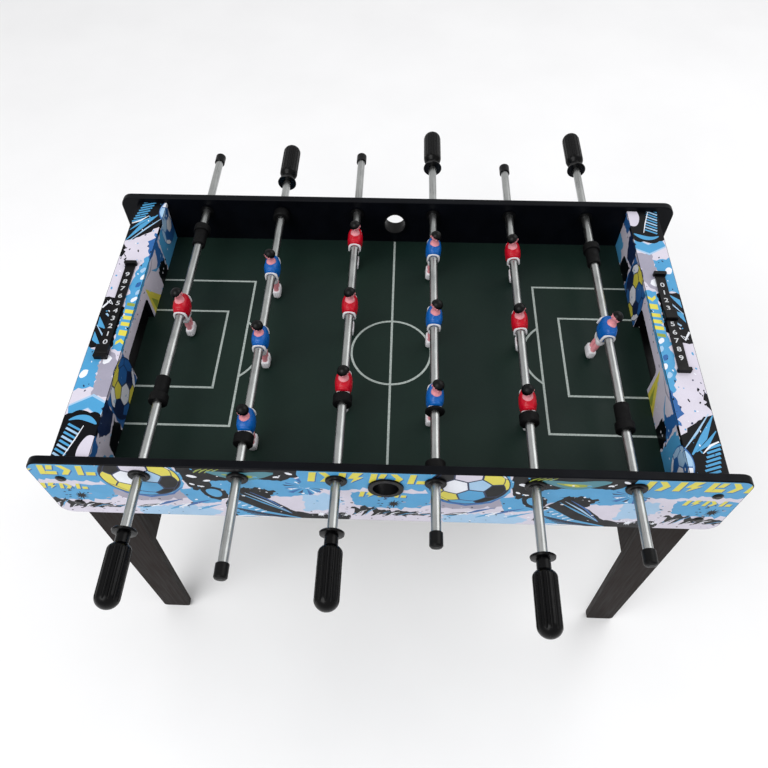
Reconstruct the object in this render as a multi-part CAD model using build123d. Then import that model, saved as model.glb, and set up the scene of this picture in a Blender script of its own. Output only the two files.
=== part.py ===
from build123d import *
import os

# Six-rod football table: a printed fibreboard box on four board legs.
# Millimetres. X runs along the table, from the left goal to the right one, Y from the front
# panel to the back one, Z up from the floor. The model is laid out about the middle of the
# field, then moved along Y so that the origin is under the middle of the whole footprint,
# handles included.

# Boards
TABLE_HEIGHT = 600
PANEL_LENGTH = 914
PANEL_HEIGHT = 144
PANEL_THICK = 12
PANEL_CORNER = 18
PANEL_EDGE = 1.5
INNER_WIDTH = 484
FIELD_BELOW_RIM = 86
FIELD_THICK = 5
GROOVE_DEPTH = 4
GROOVE_PLAY = 0.1

# Ends: a goal wall facing the field, an outer board, and a shelf that covers both
GOAL_WALL_X = 381
GOAL_WALL_THICK = 9
END_X = 428
END_THICK = 12
SHELF_LIP = 2
SHELF_THICK = 6
SHELF_BELOW_RIM = 9
MOUTH_WIDTH = 120
MOUTH_HEIGHT = 46
MOUTH_CORNER = 8

# Goal boxes: sunk trays behind the mouths, open through the outer boards
BOX_WALL = 2
BOX_SINK = 16
BOX_PLAY = 0.2
BOX_RIM = 7
BOX_RIM_THICK = 2.5
BOX_LIP_TOP = -2

# Ball entries, one in each long panel
ENTRY_HEIGHT = 46
ENTRY_BORE_R = 17
ENTRY_TUBE_R = 18.5
ENTRY_FLANGE_R = 23
ENTRY_FLANGE_THICK = 3
ENTRY_SCOOP = 10
ENTRY_TOP_LIP = 3
CUT_OVER = 5

# Legs and the boards between them
LEG_OUTER_X = 434
LEG_TOP_X = 366
LEG_FOOT_X = 385
LEG_TAPER_DROP = 93
LEG_TAB_X = 413
LEG_FOOT_CORNER = 6
LEG_TOP_GAP = 1
APRON_X = 373
APRON_BOTTOM_DROP = 211

# Rods: six across the field at one pitch
ROD_PITCH = 126
ROD_ABOVE_FIELD = 61.6
ROD_R = 6.35
ROD_BORE_R = 5.15
FIT = 0.05

# Bushings through the long panels, each with a liner that turns with the rod
BUSH_FLANGE_R = 14
BUSH_FLANGE_THICK = 3
BUSH_SLEEVE_R = 9.5
BUSH_COLLAR_R = 11
BUSH_COLLAR_THICK = 2.5
BUSH_BORE_R = 7.6
LINER_LIP_R = 8.8
LINER_LIP_THICK = 0.8
LINER_END_PLAY = 0.1

# Handles, end caps, bumpers
HANDLE_LENGTH = 96
HANDLE_R = 15
HANDLE_FLANGE_R = 15.7
HANDLE_FLANGE_THICK = 3.5
HANDLE_NECK_R = 8.6
HANDLE_NECK_END = 17
HANDLE_SHOULDER_END = 27
HANDLE_DOME_START = 82
HANDLE_BORE_DEPTH = 72
HANDLE_FLUTES = 14
HANDLE_FLUTE_R = 2.0
CAP_R = 8.5
CAP_LENGTH = 20
CAP_WALL = 3
CAP_LIP = 0.8
CAP_DOME = 3
CAP_DOME_STEP = 1.5
CAP_DOME_FLAT_R = 4
CAP_END_Y = 357
BUMPER_R = 13.2
BUMPER_LENGTH = 15
WASHER_R = 13.5
WASHER_LENGTH = 4
MAN_GAP = 0.5
SLEEVE_R = 10.2
SLEEVE_LENGTH = 29
STOP_R = 13
STOP_LENGTH = 13
GOALIE_STOP_Y = 173

# Players: sizes from the rod's axis
MAN_PITCH = 142
MAN_HALF_WIDTH = 19
CUFF_R = 10.4
FOOT_BOTTOM = -59
FOOT_TOP = -44
FOOT_HALF_LENGTH = 6
FOOT_HALF_WIDTH = 10.8
FOOT_CHAMFER = 3
FOOT_CORNER = 1.5
ANKLE = (5, 6.5)
KNEE_Z = -31
KNEE = (5.6, 7.2)
HIP_Z = -14
HIP = (8, 10.5)
SHORTS_HEM_Z = -20
SHORTS_HEM = (8.6, 11.5)
SHORTS_TOP_Z = -4
CHEST_BOTTOM_Z = -9
CHEST_WIDEST_Z = 2
SHOULDER_DROP = 6
CHEST_TOP = 17
TORSO_HALF_DEPTH = 12.2
TORSO_HALF_WIDTH = 17
NECK_R = 4.5
HEAD_Z = 30.5
HEAD_R = 8.8

# Score counters on the shelves
STRIP_X = 404.5
STRIP_MID_Y = 9
STRIP_LENGTH = 186
STRIP_WIDTH = 14.5
STRIP_THICK = 3
STOP_BLOCK_WIDTH = 19
STOP_BLOCK_LENGTH = 6
STOP_BLOCK_HEIGHT = 7
SLIDER_WIDTH = 18.5
SLIDER_LENGTH = 16
SLIDER_HEIGHT = 7.2
SLIDER_PLAY = 0.35
LEFT_SLIDER_Y = -69.5
RIGHT_SLIDER_Y = 17

# Fasteners
SCREW_CAP_R = 7
SCREW_CAP_THICK = 2.5
SCREW_R = 2.5
SCREW_LENGTH = 38
SCREW_HEIGHTS = (46, -24)
BOLT_R = 3
BOLT_GRIP = 8
BOLT_HEAD_R = 6.5
BOLT_HEAD_THICK = 3.5
BOLT_SPACING = 14
BOLT_HEIGHT = -34
HOLE_PLAY = 0.1

# One row per rod: side of its handle, number of men, how far it is slid from the middle, how
# far its men lean (degrees, feet towards +X when positive), and the handle's distance from
# the middle of its men
FRONT = -1
BACK = 1
RODS = [
    {"side": FRONT, "men": 1, "slide": 28.5, "lean": 2, "reach": 357.5},
    {"side": BACK, "men": 3, "slide": -30, "lean": 1, "reach": 345},
    {"side": FRONT, "men": 3, "slide": 36.5, "lean": -2, "reach": 360.5},
    {"side": BACK, "men": 3, "slide": 16.5, "lean": -5, "reach": 344, "washer": True},
    {"side": FRONT, "men": 3, "slide": 13, "lean": 8, "reach": 359},
    {"side": BACK, "men": 1, "slide": 2, "lean": -14, "reach": 360.5},
]

# Levels and faces that follow from the sizes above
FIELD_Z = TABLE_HEIGHT - FIELD_BELOW_RIM
PANEL_BOTTOM_Z = TABLE_HEIGHT - PANEL_HEIGHT
ROD_Z = FIELD_Z + ROD_ABOVE_FIELD
SHELF_Z = TABLE_HEIGHT - SHELF_BELOW_RIM
INNER_Y = INNER_WIDTH / 2
OUTER_Y = INNER_Y + PANEL_THICK
GOAL_WALL_BACK_X = GOAL_WALL_X + GOAL_WALL_THICK
END_INNER_X = END_X - END_THICK
COLLAR_Y = INNER_Y - BUSH_COLLAR_THICK
TUBE_END_Y = CAP_END_Y - CAP_WALL


def rod_x(index):
    return (index - 2.5) * ROD_PITCH


def box(x, y, z):
    """A box between two X values, two Y values and two Z values."""
    size = [abs(high - low) for low, high in (x, y, z)]
    middle = [(low + high) / 2 for low, high in (x, y, z)]
    return Pos(*middle) * Box(*size)


def bar(x, z, radius, y_from, y_to):
    """A round bar along Y."""
    middle = Pos(x, (y_from + y_to) / 2, z)
    return middle * Rot(90, 0, 0) * Cylinder(radius, abs(y_to - y_from))


def turned(points, x=0, z=ROD_Z):
    """A shape turned about a line along Y: points are (distance along Y, radius)."""
    outline = Polyline(*[(radius, y) for y, radius in points], close=True)
    return Pos(x, 0, z) * revolve(make_face(outline), Axis.Y, 360)


def board_plate(outline, y_from, thick):
    """A board in the XZ plane, drawn as seen from the front, thick towards the back."""
    plane = Plane(origin=(0, y_from, 0), x_dir=(1, 0, 0), z_dir=(0, -1, 0))
    return extrude(plane * outline, -thick)


# Long panels

def side_panel(side):
    """A long panel; side is FRONT or BACK."""
    face = Pos(0, PANEL_BOTTOM_Z + PANEL_HEIGHT / 2) * RectangleRounded(
        PANEL_LENGTH, PANEL_HEIGHT, PANEL_CORNER)
    low_y = min(side * INNER_Y, side * OUTER_Y)
    panel = board_plate(face, low_y, PANEL_THICK)
    rim = panel.edges().filter_by(Plane.XZ)
    panel = fillet(rim, PANEL_EDGE)
    inside = side * (INNER_Y - 1)
    outside = side * (OUTER_Y + 1)
    for index in range(len(RODS)):
        panel -= bar(rod_x(index), ROD_Z, BUSH_SLEEVE_R + HOLE_PLAY, inside, outside)
    panel -= bar(0, FIELD_Z + ENTRY_HEIGHT, ENTRY_TUBE_R + HOLE_PLAY, inside, outside)
    for x, z in screw_places():
        panel -= bar(x, z, SCREW_R + HOLE_PLAY, inside, outside)
    for x, z in bolt_places():
        panel -= bar(x, z, BOLT_R + HOLE_PLAY, inside, side * (INNER_Y + BOLT_GRIP + 0.5))
    groove_x = GOAL_WALL_BACK_X + GROOVE_PLAY
    groove_z = (FIELD_Z - FIELD_THICK - GROOVE_PLAY, FIELD_Z + GROOVE_PLAY)
    groove_y = sorted((side * (INNER_Y - 1), side * (INNER_Y + GROOVE_DEPTH + GROOVE_PLAY)))
    return panel - box((-groove_x, groove_x), groove_y, groove_z)


def playing_field():
    """The thin field board, held in the panels' grooves."""
    reach = INNER_Y + GROOVE_DEPTH
    x = GOAL_WALL_BACK_X
    return box((-x, x), (-reach, reach), (FIELD_Z - FIELD_THICK, FIELD_Z))


# Ends

def mouth_cutter(end, x_from, x_to, low_z):
    """The goal's opening, rounded at its two upper corners."""
    x = sorted((end * x_from, end * x_to))
    cutter = box(x, (-MOUTH_WIDTH / 2, MOUTH_WIDTH / 2), (low_z, FIELD_Z + MOUTH_HEIGHT))
    top = cutter.edges().filter_by(Axis.X).group_by(Axis.Z)[-1]
    return fillet(top, MOUTH_CORNER)


def goal_wall(end):
    """The wall with the goal's mouth; end is -1 at the left, 1 at the right."""
    x = sorted((end * GOAL_WALL_X, end * GOAL_WALL_BACK_X))
    wall = box(x, (-INNER_Y, INNER_Y), (FIELD_Z, SHELF_Z - SHELF_THICK))
    return wall - mouth_cutter(end, GOAL_WALL_X - 1, GOAL_WALL_BACK_X + 1, FIELD_Z - 1)


def end_panel(end):
    """The outer board, with a window through which balls are picked up."""
    x = sorted((end * END_INNER_X, end * END_X))
    panel = box(x, (-INNER_Y, INNER_Y), (PANEL_BOTTOM_Z, SHELF_Z - SHELF_THICK))
    window_bottom = FIELD_Z - BOX_SINK - BOX_WALL - BOX_PLAY
    half = MOUTH_WIDTH / 2 + BOX_PLAY
    window_x = sorted((end * (END_INNER_X - 1), end * (END_X + 1)))
    panel -= box(window_x, (-half, half), (window_bottom, FIELD_Z + MOUTH_HEIGHT + BOX_PLAY))
    for x, z in screw_places():
        if x * end > 0:
            for side in (FRONT, BACK):
                tip = side * (OUTER_Y - SCREW_LENGTH - 1)
                panel -= bar(x, z, SCREW_R + HOLE_PLAY, side * (INNER_Y + 1), tip)
    return panel


def top_shelf(end):
    """The printed board over the end, between the long panels."""
    x = sorted((end * (GOAL_WALL_X - SHELF_LIP), end * END_X))
    return box(x, (-INNER_Y, INNER_Y), (SHELF_Z - SHELF_THICK, SHELF_Z))


def goal_box(end):
    """A thin tray behind the mouth: sunk floor, roof, sides, and a rim outside."""
    half = MOUTH_WIDTH / 2
    low = FIELD_Z - BOX_SINK - BOX_WALL
    high = FIELD_Z + MOUTH_HEIGHT
    near = GOAL_WALL_BACK_X + BOX_PLAY
    rim_x = END_X + BOX_RIM_THICK
    shell = box(sorted((end * near, end * rim_x)), (-half, half), (low, high))
    rim_span = sorted((end * END_X, end * rim_x))
    rim_half = half + BOX_RIM
    shell += box(rim_span, (-rim_half, rim_half), (low - BOX_RIM, high + BOX_RIM))
    inside = half - BOX_WALL
    hollow_x = sorted((end * (near + BOX_WALL), end * (rim_x + 1)))
    shell -= box(hollow_x, (-inside, inside), (low + BOX_WALL, high - BOX_WALL))
    way_in = sorted((end * (near - 1), end * (near + BOX_WALL + 1)))
    shell -= box(way_in, (-inside, inside), (FIELD_Z - 0.5, high - BOX_WALL))
    lip = sorted((end * END_X, end * rim_x))
    return shell + box(lip, (-half, half), (low, FIELD_Z + BOX_LIP_TOP))


# Ball entries

def ball_entry(side):
    """A flanged tube through the long panel, cut back at the top into a scoop."""
    z = FIELD_Z + ENTRY_HEIGHT
    outer = side * (OUTER_Y + ENTRY_FLANGE_THICK)
    inner = side * (INNER_Y - ENTRY_SCOOP)
    tube = bar(0, z, ENTRY_TUBE_R, outer, inner)
    tube += bar(0, z, ENTRY_FLANGE_R, outer, side * OUTER_Y)
    tube -= bar(0, z, ENTRY_BORE_R, outer + side, inner - side)
    lip_y = side * (INNER_Y - ENTRY_TOP_LIP)
    foot_y = side * (INNER_Y - ENTRY_SCOOP)
    top_z = z + ENTRY_TUBE_R
    far_y = foot_y - side * CUT_OVER
    cut = Polyline((lip_y, top_z + 1), (foot_y, z), (far_y, z), (far_y, top_z + 1), close=True)
    return tube - extrude(Plane.YZ * make_face(cut), 2 * ENTRY_TUBE_R, both=True)


# Legs

def leg(end, side):
    """A tapered board leg behind a long panel, with a tab up inside the box."""
    top = FIELD_Z - FIELD_THICK - LEG_TOP_GAP
    tab_foot = PANEL_BOTTOM_Z
    taper_top = FIELD_Z - LEG_TAPER_DROP
    outline = [
        (LEG_TOP_X, top),
        (LEG_TAB_X, top),
        (LEG_TAB_X, tab_foot),
        (LEG_OUTER_X, tab_foot),
        (LEG_OUTER_X, 0),
        (LEG_FOOT_X, 0),
        (LEG_TOP_X, taper_top),
    ]
    face = make_face(Polyline(*[(end * x, z) for x, z in outline], close=True))
    corners = face.vertices().group_by(Axis.Y)[0]
    face = fillet(corners, LEG_FOOT_CORNER)
    low_y = -INNER_Y if side == FRONT else INNER_Y - PANEL_THICK
    board = board_plate(face, low_y, PANEL_THICK)
    for x, z in bolt_places():
        if x * end > 0:
            inside = side * (INNER_Y - PANEL_THICK - 1)
            board -= bar(x, z, BOLT_R + HOLE_PLAY, inside, side * (INNER_Y + 1))
    return board


def leg_apron(end):
    """The board between the front and the back leg."""
    x = sorted((end * APRON_X, end * (APRON_X + PANEL_THICK)))
    y = INNER_Y - PANEL_THICK
    return box(x, (-y, y), (FIELD_Z - APRON_BOTTOM_DROP, FIELD_Z - FIELD_THICK))


# Bushings and what runs in them

def bushing(x, side):
    """A flanged bushing in a long panel, with a collar on the inside."""
    flange = OUTER_Y + BUSH_FLANGE_THICK
    points = [
        (side * COLLAR_Y, BUSH_BORE_R),
        (side * COLLAR_Y, BUSH_COLLAR_R),
        (side * INNER_Y, BUSH_COLLAR_R),
        (side * INNER_Y, BUSH_SLEEVE_R),
        (side * OUTER_Y, BUSH_SLEEVE_R),
        (side * OUTER_Y, BUSH_FLANGE_R),
        (side * (flange - 1), BUSH_FLANGE_R),
        (side * flange, BUSH_FLANGE_R - 1),
        (side * flange, BUSH_BORE_R),
    ]
    return turned(points, x)


def bearing_liner(x, side):
    """The thin sleeve between bushing and rod, with a lip outside."""
    flange = OUTER_Y + BUSH_FLANGE_THICK + LINER_END_PLAY
    lip = flange + LINER_LIP_THICK
    points = [
        (side * COLLAR_Y, ROD_R + FIT),
        (side * COLLAR_Y, BUSH_BORE_R - FIT),
        (side * flange, BUSH_BORE_R - FIT),
        (side * flange, LINER_LIP_R),
        (side * lip, LINER_LIP_R),
        (side * lip, ROD_R + FIT),
    ]
    return turned(points, x)


def wall_ring(x, side):
    """A loose bumper ring that rests against a long panel's collar."""
    inner = COLLAR_Y - BUMPER_LENGTH
    return turned(ring_points(side * inner, side * COLLAR_Y, BUMPER_R), x)


def ring_points(y_from, y_to, radius, bore=ROD_R + FIT, edge=1.2):
    """The section of a ring along Y with softened outer edges."""
    step = edge if y_to > y_from else -edge
    return [
        (y_from, bore),
        (y_from, radius - edge),
        (y_from + step, radius),
        (y_to - step, radius),
        (y_to, radius - edge),
        (y_to, bore),
    ]


# Rod assemblies, in place: slid and turned as they stand

def rod_tube(index):
    rod = RODS[index]
    x = rod_x(index)
    cap_end = rod["slide"] - rod["side"] * TUBE_END_Y
    handle_end = rod["slide"] + rod["side"] * (rod["reach"] + HANDLE_BORE_DEPTH)
    tube = bar(x, ROD_Z, ROD_R, cap_end, handle_end)
    return tube - bar(x, ROD_Z, ROD_BORE_R, cap_end - rod["side"], handle_end + rod["side"])


def rod_cap(index):
    rod = RODS[index]
    away = -rod["side"]
    end = rod["slide"] + away * CAP_END_Y
    start = end - away * CAP_LENGTH
    points = [
        (start, ROD_R + FIT),
        (start, CAP_R - CAP_LIP),
        (start + away * CAP_LIP, CAP_R),
        (end - away * CAP_DOME, CAP_R),
        (end - away * CAP_DOME / 3, CAP_R - CAP_DOME_STEP),
        (end, CAP_DOME_FLAT_R),
        (end, 0),
        (end - away * CAP_WALL, 0),
        (end - away * CAP_WALL, ROD_R + FIT),
    ]
    return turned(points, rod_x(index))


def rod_handle(index):
    """A grip: thin flange, narrow neck, rounded shoulder, fluted body, domed end."""
    rod = RODS[index]
    out = rod["side"]
    start = rod["slide"] + out * rod["reach"]
    bore = ROD_R + FIT
    line = [
        Line((0, bore), (0, HANDLE_FLANGE_R - 1)),
        Line((0, HANDLE_FLANGE_R - 1), (1, HANDLE_FLANGE_R)),
        Line((1, HANDLE_FLANGE_R), (HANDLE_FLANGE_THICK, HANDLE_FLANGE_R - 0.6)),
        Line((HANDLE_FLANGE_THICK, HANDLE_FLANGE_R - 0.6), (HANDLE_FLANGE_THICK + 1, HANDLE_NECK_R)),
        Line((HANDLE_FLANGE_THICK + 1, HANDLE_NECK_R), (HANDLE_NECK_END, HANDLE_NECK_R)),
        Spline((HANDLE_NECK_END, HANDLE_NECK_R), (HANDLE_SHOULDER_END, HANDLE_R),
               tangents=[(1, 0.9), (1, 0)]),
        Line((HANDLE_SHOULDER_END, HANDLE_R), (HANDLE_DOME_START, HANDLE_R)),
        EllipticalCenterArc((HANDLE_DOME_START, 0), HANDLE_LENGTH - HANDLE_DOME_START, HANDLE_R,
                            start_angle=0, arc_size=90),
        Line((HANDLE_LENGTH, 0), (HANDLE_BORE_DEPTH + 0.5, 0)),
        Line((HANDLE_BORE_DEPTH + 0.5, 0), (HANDLE_BORE_DEPTH + 0.5, bore)),
        Line((HANDLE_BORE_DEPTH + 0.5, bore), (0, bore)),
    ]
    grip = revolve(make_face(Curve() + line), Axis.X, 360)
    groove = Pos(HANDLE_SHOULDER_END - 4, 0, HANDLE_R + 0.6) * Rot(0, 90, 0) * Cylinder(
        HANDLE_FLUTE_R, HANDLE_LENGTH, align=(Align.CENTER, Align.CENTER, Align.MIN))
    for flute in range(HANDLE_FLUTES):
        grip -= Rot(360 * flute / HANDLE_FLUTES, 0, 0) * groove
    return Pos(rod_x(index), start, ROD_Z) * Rot(0, 0, out * 90) * grip


def rod_bumpers(index):
    """Stepped rubber stops beside a lone man, or one ring in front of three."""
    rod = RODS[index]
    x = rod_x(index)
    if rod["men"] == 1:
        return [stepped_bumper(x, rod["slide"], side) for side in (FRONT, BACK)]
    outer = rod["slide"] - MAN_PITCH - MAN_HALF_WIDTH - MAN_GAP
    if rod.get("washer"):
        return [turned(ring_points(outer - WASHER_LENGTH, outer, WASHER_R), x)]
    return [turned(ring_points(outer - BUMPER_LENGTH, outer, BUMPER_R), x)]


def stepped_bumper(x, slide, side):
    stop = GOALIE_STOP_Y
    step = stop - STOP_LENGTH
    inner = step - SLEEVE_LENGTH
    points = [
        (inner, ROD_R + FIT),
        (inner, SLEEVE_R - 1),
        (inner + 1, SLEEVE_R),
        (step, SLEEVE_R),
        (step, STOP_R - 1),
        (step + 1, STOP_R),
        (stop - 1, STOP_R),
        (stop, STOP_R - 1),
        (stop, ROD_R + FIT),
    ]
    return turned([(slide + side * y, radius) for y, radius in points], x)


def oval_slice(z, half_depth, half_width):
    return Pos(0, 0, z) * Ellipse(half_depth, half_width)


def man():
    """One player about the rod's axis: foot, legs, shorts, chest, cuffs at the rod, neck and head."""
    deep = TORSO_HALF_DEPTH
    wide = TORSO_HALF_WIDTH
    foot_mid = (FOOT_BOTTOM + FOOT_TOP) / 2
    foot = Pos(0, 0, foot_mid) * Box(
        2 * FOOT_HALF_LENGTH, 2 * FOOT_HALF_WIDTH, FOOT_TOP - FOOT_BOTTOM)
    foot = chamfer(foot.edges().group_by(Axis.Z)[0].filter_by(Axis.Y), FOOT_CHAMFER)
    foot = fillet(foot.edges().filter_by(Axis.Z), FOOT_CORNER)
    legs = loft([
        oval_slice(FOOT_TOP - 1, *ANKLE),
        oval_slice(KNEE_Z, *KNEE),
        oval_slice(HIP_Z, *HIP),
    ])
    shorts = loft([oval_slice(SHORTS_HEM_Z, *SHORTS_HEM), oval_slice(SHORTS_TOP_Z, deep - 0.6, wide - 1.5)])
    chest = loft([
        oval_slice(CHEST_BOTTOM_Z, deep - 0.6, wide - 0.8),
        oval_slice(CHEST_WIDEST_Z, deep, wide),
        oval_slice(CHEST_TOP - SHOULDER_DROP, 0.83 * deep, wide - 0.5),
        oval_slice(CHEST_TOP, 0.5 * deep, 0.58 * wide),
    ])
    cuffs = Rot(90, 0, 0) * Cylinder(CUFF_R, 2 * MAN_HALF_WIDTH)
    neck = Pos(0, 0, (CHEST_TOP + HEAD_Z) / 2) * Cylinder(NECK_R, HEAD_Z - CHEST_TOP + 2)
    head = Pos(0, 0, HEAD_Z) * Sphere(HEAD_R)
    body = foot + legs + shorts + chest + cuffs + neck + head
    return body - Rot(90, 0, 0) * Cylinder(ROD_R + FIT, 60)


def rod_players(index, pattern):
    rod = RODS[index]
    first = -(rod["men"] - 1) / 2
    places = [rod["slide"] + (first + k) * MAN_PITCH for k in range(rod["men"])]
    turn = Rot(0, -rod["lean"], 0)
    return [Pos(rod_x(index), y, ROD_Z) * turn * pattern for y in places]


# Score counters

def score_strip(end):
    """A flat strip with a stop block at each end."""
    x = end * STRIP_X
    low = STRIP_MID_Y - STRIP_LENGTH / 2
    high = STRIP_MID_Y + STRIP_LENGTH / 2
    half = STRIP_WIDTH / 2
    strip = box((x - half, x + half), (low, high), (SHELF_Z, SHELF_Z + STRIP_THICK))
    for y in (low, high - STOP_BLOCK_LENGTH):
        block = box((x - STOP_BLOCK_WIDTH / 2, x + STOP_BLOCK_WIDTH / 2),
                    (y, y + STOP_BLOCK_LENGTH), (SHELF_Z, SHELF_Z + STOP_BLOCK_HEIGHT))
        strip += fillet(block.edges().filter_by(Axis.Z), 1.5)
    return strip


def score_slider(end, y):
    """A saddle that rides along the strip."""
    x = end * STRIP_X
    half = SLIDER_WIDTH / 2
    low = SHELF_Z + SLIDER_PLAY
    span = (y - SLIDER_LENGTH / 2, y + SLIDER_LENGTH / 2)
    slider = box((x - half, x + half), span, (low, low + SLIDER_HEIGHT))
    slider = fillet(slider.edges().group_by(Axis.Z)[-1], 1.5)
    slot = STRIP_WIDTH / 2 + SLIDER_PLAY
    slot_z = (low - 1, SHELF_Z + STRIP_THICK + SLIDER_PLAY)
    return slider - box((x - slot, x + slot), (span[0] - 1, span[1] + 1), slot_z)


# Fasteners

def screw_places():
    """Centres, in X and Z, of the screws into the outer boards' edges."""
    x = END_X - END_THICK / 2
    return [(end * x, FIELD_Z + height) for end in (-1, 1) for height in SCREW_HEIGHTS]


def bolt_places():
    """Centres, in X and Z, of the leg bolts."""
    middle = (APRON_X + PANEL_THICK + LEG_TAB_X) / 2
    xs = (middle - BOLT_SPACING / 2, middle + BOLT_SPACING / 2)
    return [(end * x, FIELD_Z + BOLT_HEIGHT) for end in (-1, 1) for x in xs]


def panel_screw(x, z, side):
    """A screw through a long panel with a domed cover cap."""
    cap = [
        (side * OUTER_Y, 0),
        (side * OUTER_Y, SCREW_CAP_R),
        (side * (OUTER_Y + 1), SCREW_CAP_R),
        (side * (OUTER_Y + SCREW_CAP_THICK), SCREW_CAP_R - 3),
        (side * (OUTER_Y + SCREW_CAP_THICK), 0),
    ]
    shank = bar(x, z, SCREW_R, side * OUTER_Y, side * (OUTER_Y - SCREW_LENGTH))
    return turned(cap, x, z) + shank


def leg_bolt(x, z, side):
    """A bolt from inside the box, through a leg's tab into a long panel."""
    face = INNER_Y - PANEL_THICK
    head = bar(x, z, BOLT_HEAD_R, side * face, side * (face - BOLT_HEAD_THICK))
    return head + bar(x, z, BOLT_R, side * face, side * (INNER_Y + BOLT_GRIP))


# Every node, in place

def group(shapes):
    """Separate solids that share one node."""
    return Compound([solid for shape in shapes for solid in shape.solids()])


def fixed_nodes():
    sides = (FRONT, BACK)
    ends = {"left": -1, "right": 1}
    nodes = {
        "front_side_panel": side_panel(FRONT),
        "back_side_panel": side_panel(BACK),
        "playing_field": playing_field(),
        "ball_entry_cups": group([ball_entry(side) for side in sides]),
        "rod_bushings": group([bushing(rod_x(i), side) for i in range(len(RODS)) for side in sides]),
        "wall_bumper_rings": group([wall_ring(rod_x(1), BACK), wall_ring(rod_x(3), FRONT)]),
        "leg_aprons": group([leg_apron(end) for end in ends.values()]),
        "score_strips": group([score_strip(end) for end in ends.values()]),
        "side_panel_screws": group(
            [panel_screw(x, z, side) for x, z in screw_places() for side in sides]),
        "leg_bolts": group([leg_bolt(x, z, side) for x, z in bolt_places() for side in sides]),
        "left_score_slider": score_slider(-1, LEFT_SLIDER_Y),
        "right_score_slider": score_slider(1, RIGHT_SLIDER_Y),
    }
    for name, end in ends.items():
        nodes[f"{name}_end_panel"] = end_panel(end)
        nodes[f"{name}_goal_wall"] = goal_wall(end)
        nodes[f"{name}_top_shelf"] = top_shelf(end)
        nodes[f"{name}_goal_box"] = goal_box(end)
        nodes[f"front_{name}_leg"] = leg(end, FRONT)
        nodes[f"back_{name}_leg"] = leg(end, BACK)
    return nodes


def rod_nodes():
    nodes = {}
    pattern = man()
    for index in range(len(RODS)):
        name = f"rod_{index + 1}"
        liners = [bearing_liner(rod_x(index), side) for side in (FRONT, BACK)]
        nodes[f"{name}_tube"] = rod_tube(index)
        nodes[f"{name}_handle"] = rod_handle(index)
        nodes[f"{name}_end_cap"] = rod_cap(index)
        nodes[f"{name}_bumpers"] = group(rod_bumpers(index))
        nodes[f"{name}_players"] = group(rod_players(index, pattern))
        nodes[f"{name}_liners"] = group(liners)
    return nodes


def footprint_middle():
    """Middle of the footprint along Y, from the two handles that reach furthest."""
    tips = [rod["slide"] + rod["side"] * (rod["reach"] + HANDLE_LENGTH) for rod in RODS]
    return (min(tips) + max(tips)) / 2


os.makedirs("parts", exist_ok=True)
to_origin = Pos(0, -footprint_middle(), 0)
for name, shape in {**fixed_nodes(), **rod_nodes()}.items():
    export_step(to_origin * shape, f"parts/{name}.step")
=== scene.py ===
import math
import random

import bpy
import numpy as np
from mathutils import Matrix, Vector, geometry


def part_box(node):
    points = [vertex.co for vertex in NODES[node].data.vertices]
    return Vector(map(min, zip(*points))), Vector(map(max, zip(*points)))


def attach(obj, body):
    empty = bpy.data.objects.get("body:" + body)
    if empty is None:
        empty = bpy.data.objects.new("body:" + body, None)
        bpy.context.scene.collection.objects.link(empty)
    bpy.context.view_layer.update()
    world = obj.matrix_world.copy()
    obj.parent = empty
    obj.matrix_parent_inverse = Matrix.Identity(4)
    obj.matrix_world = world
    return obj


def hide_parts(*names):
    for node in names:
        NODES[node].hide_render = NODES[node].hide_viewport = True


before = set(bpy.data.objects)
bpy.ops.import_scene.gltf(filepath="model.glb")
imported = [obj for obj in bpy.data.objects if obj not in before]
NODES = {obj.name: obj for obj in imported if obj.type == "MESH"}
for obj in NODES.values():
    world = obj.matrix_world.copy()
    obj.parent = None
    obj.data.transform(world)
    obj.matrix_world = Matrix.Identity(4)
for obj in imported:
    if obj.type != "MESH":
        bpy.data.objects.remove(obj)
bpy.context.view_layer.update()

# A six-rod football table: printed film on the boards, lines on the field, painted men on the rods.
# Drawings and small shapes are in millimetres; MM brings them to the scene's metres.

MM = 0.001
MICRON = 0.000001
MID_Y = (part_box("front_side_panel")[0].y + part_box("back_side_panel")[1].y) / 2 / MM
FIELD_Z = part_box("playing_field")[1].z / MM
FILM = 0.08            # how far printed film stands off its board

# Camera, as the eye stands in front of the table and looks down at it
EYE = (0.0152, -0.6696, 1.3771)
PITCH, YAW, ROLL = (math.radians(a) for a in (55.14, -2.30, -0.51))
LENS = 33.0

# Rods and players. LEAN is how far each rod is turned at rest, in degrees.
ROD_Z = 575.6
ROD_PITCH = 126
ROD_X = [ROD_PITCH * (k - 2.5) for k in range(6)]
MAN_HALF_WIDTH = 19
LEAN = {1: 2, 2: 1, 3: -2, 4: -5, 5: 8, 6: -14}

# The two ends, and the way each faces along X
SIDES = (("left", -1), ("right", 1))


# ---------------------------------------------------------------- materials
# Noise scales are per metre, and bump depths in microns.

def rgb(code):
    """Linear colour from an sRGB hex code."""
    values = [int(code[i:i + 2], 16) / 255 for i in (0, 2, 4)]
    return tuple(v / 12.92 if v <= 0.04045 else ((v + 0.055) / 1.055) ** 2.4 for v in values)


def scaled(color, factor):
    return tuple(min(1.0, c * factor) for c in color)


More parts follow.
